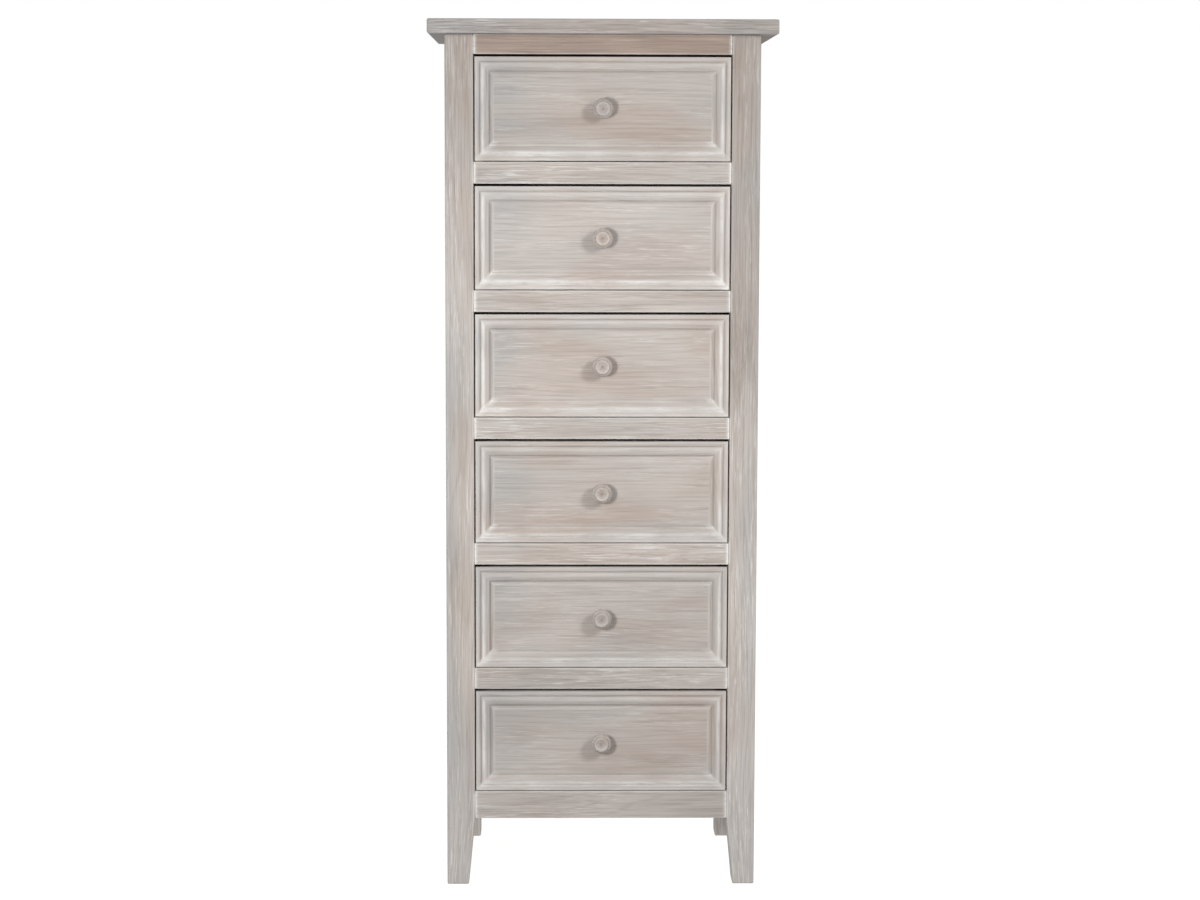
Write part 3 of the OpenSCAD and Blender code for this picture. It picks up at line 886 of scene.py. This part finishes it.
def build_front_rails():
    """The seven rails between the front posts, from the top down."""
    for node, level in zip(FRONT_RAILS, RAIL_LEVELS):
        # The top rail is made browner and darker, partly for lost lime and partly as painted
        # shade under the top board's overhang.
        browned_and_shaded = {"bare": 0.8, "wash": top_rail_wash_and_shade} if node == "top_rail" else {}
        board(f"{node}_bar", node, "limed_frame_wood", frame_wood, X, 1.0 * MM,
              within=[(X, -POST_INNER, POST_INNER)], level=level, end_lime=1.2, **browned_and_shaded)


def build_drawers():
    """Fronts and knobs as new pieces, and the boxes and screws as they are in CAD."""
    for i, level in enumerate(DRAWER_LEVELS, start=1):
        drawer_front(i, front_wood, level)
        knob(i, knob_wood, level)
        give(f"drawer_{i}_sides", box_wood_y)
        give(f"drawer_{i}_back", box_wood_x)
        give(f"drawer_{i}_bottom", ply)
        give(f"drawer_{i}_knob_screw", zinc)


def build_inside():
    """The runners, kickers, stops and screws, as they are in CAD."""
    for name in ("kicker_left", "kicker_right", "runners_left", "runners_right"):
        give(name, box_wood_y)
    give("drawer_stops", box_wood_x)
    give("top_screws", zinc)


build_top()
build_side(-1, "left", post_wash(brown_from=0.90, brown=1.0, pale_below=-0.045))
build_side(1, "right", post_wash(brown_from=0.58, brown=1.05, pale_below=0.07))
build_back()
build_front_rails()
build_drawers()
build_inside()


# ---- Floor, light and camera ----

def build_floor():
    """A pale floor that glows a little, like a light table, so shadows on it stay faint."""
    half = 30.0
    glow = 0.93
    mesh = bpy.data.meshes.new("floor")
    corners = [(-half, -half, 0), (half, -half, 0), (half, half, 0), (-half, half, 0)]
    mesh.from_pydata(corners, [], [(0, 1, 2, 3)])
    floor = bpy.data.objects.new("floor", mesh)
    floor.visible_diffuse = False
    floor.visible_glossy = False
    bpy.context.scene.collection.objects.link(floor)
    material, _, shader = new_material("floor")
    shader.inputs["Base Color"].default_value = (0.22, 0.22, 0.22, 1)
    shader.inputs["Roughness"].default_value = 0.9
    shader.inputs["Specular IOR Level"].default_value = 0.0
    shader.inputs["Emission Color"].default_value = (1, 1, 1, 1)
    shader.inputs["Emission Strength"].default_value = glow
    mesh.materials.append(material)


def build_world(front, behind):
    """White to look at. It lights the chest more from behind, as a bright backdrop does."""
    world = bpy.data.worlds.new("studio")
    world.use_nodes = True
    tree = world.node_tree
    direction = add_node(tree, "ShaderNodeTexCoord").outputs["Generated"]
    light = between(tree, parts_of(tree, direction)[Y], -0.1, 0.5, front, behind)
    seen = add_node(tree, "ShaderNodeLightPath").outputs["Is Camera Ray"]
    backdrop = tree.nodes["Background"]
    backdrop.inputs["Color"].default_value = (1, 1, 1, 1)
    tree.links.new(maths(tree, "MAXIMUM", light, seen), backdrop.inputs["Strength"])
    bpy.context.scene.world = world


def soft_box(name, target, azimuth, elevation, distance, size, power):
    """A square soft light that looks at the target.

    Its azimuth is 0 straight in front of the chest, and grows to the right.
    """
    turn, rise = math.radians(azimuth), math.radians(elevation)
    away = Vector((math.cos(rise) * math.sin(turn), -math.cos(rise) * math.cos(turn),
                   math.sin(rise)))
    data = bpy.data.lights.new(name, "AREA")
    data.shape = "SQUARE"
    data.size = size
    data.energy = power
    lamp = bpy.data.objects.new(name, data)
    lamp.location = Vector(target) + away * distance
    lamp.rotation_euler = away.to_track_quat("Z", "Y").to_euler()
    lamp.visible_camera = False
    bpy.context.scene.collection.objects.link(lamp)


def build_camera(position, yaw, pitch, roll, lens):
    """A camera that looks along +Y, turned right by yaw, down by pitch, then rolled."""
    forward = Vector((math.sin(yaw) * math.cos(pitch), math.cos(yaw) * math.cos(pitch),
                      -math.sin(pitch)))
    right = Vector((math.cos(yaw), -math.sin(yaw), 0))
    up = right.cross(forward)
    turned_right = right * math.cos(roll) + up * math.sin(roll)
    turned_up = up * math.cos(roll) - right * math.sin(roll)
    data = bpy.data.cameras.new("camera")
    data.lens = lens
    data.sensor_width = 36
    camera = bpy.data.objects.new("camera", data)
    axes = Matrix((turned_right, turned_up, -forward)).transposed().to_4x4()
    camera.matrix_world = Matrix.Translation(position) @ axes
    bpy.context.scene.collection.objects.link(camera)
    bpy.context.scene.camera = camera


post_face_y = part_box("front_leg_left")[0].y
middle = Vector((0, post_face_y, 0.75))
build_floor()
build_world(front=0.31, behind=0.85)
soft_box("key_left", middle, azimuth=-21, elevation=3, distance=2.2, size=0.32, power=26.5)
soft_box("key_right", middle, azimuth=35, elevation=19, distance=2.45, size=0.5, power=23)
build_camera(Vector((-0.0604, post_face_y - 3.547, 1.004)), yaw=0.0163, pitch=0.1097,
             roll=0.0027, lens=77.65)
bpy.context.scene.view_settings.view_transform = "Standard"
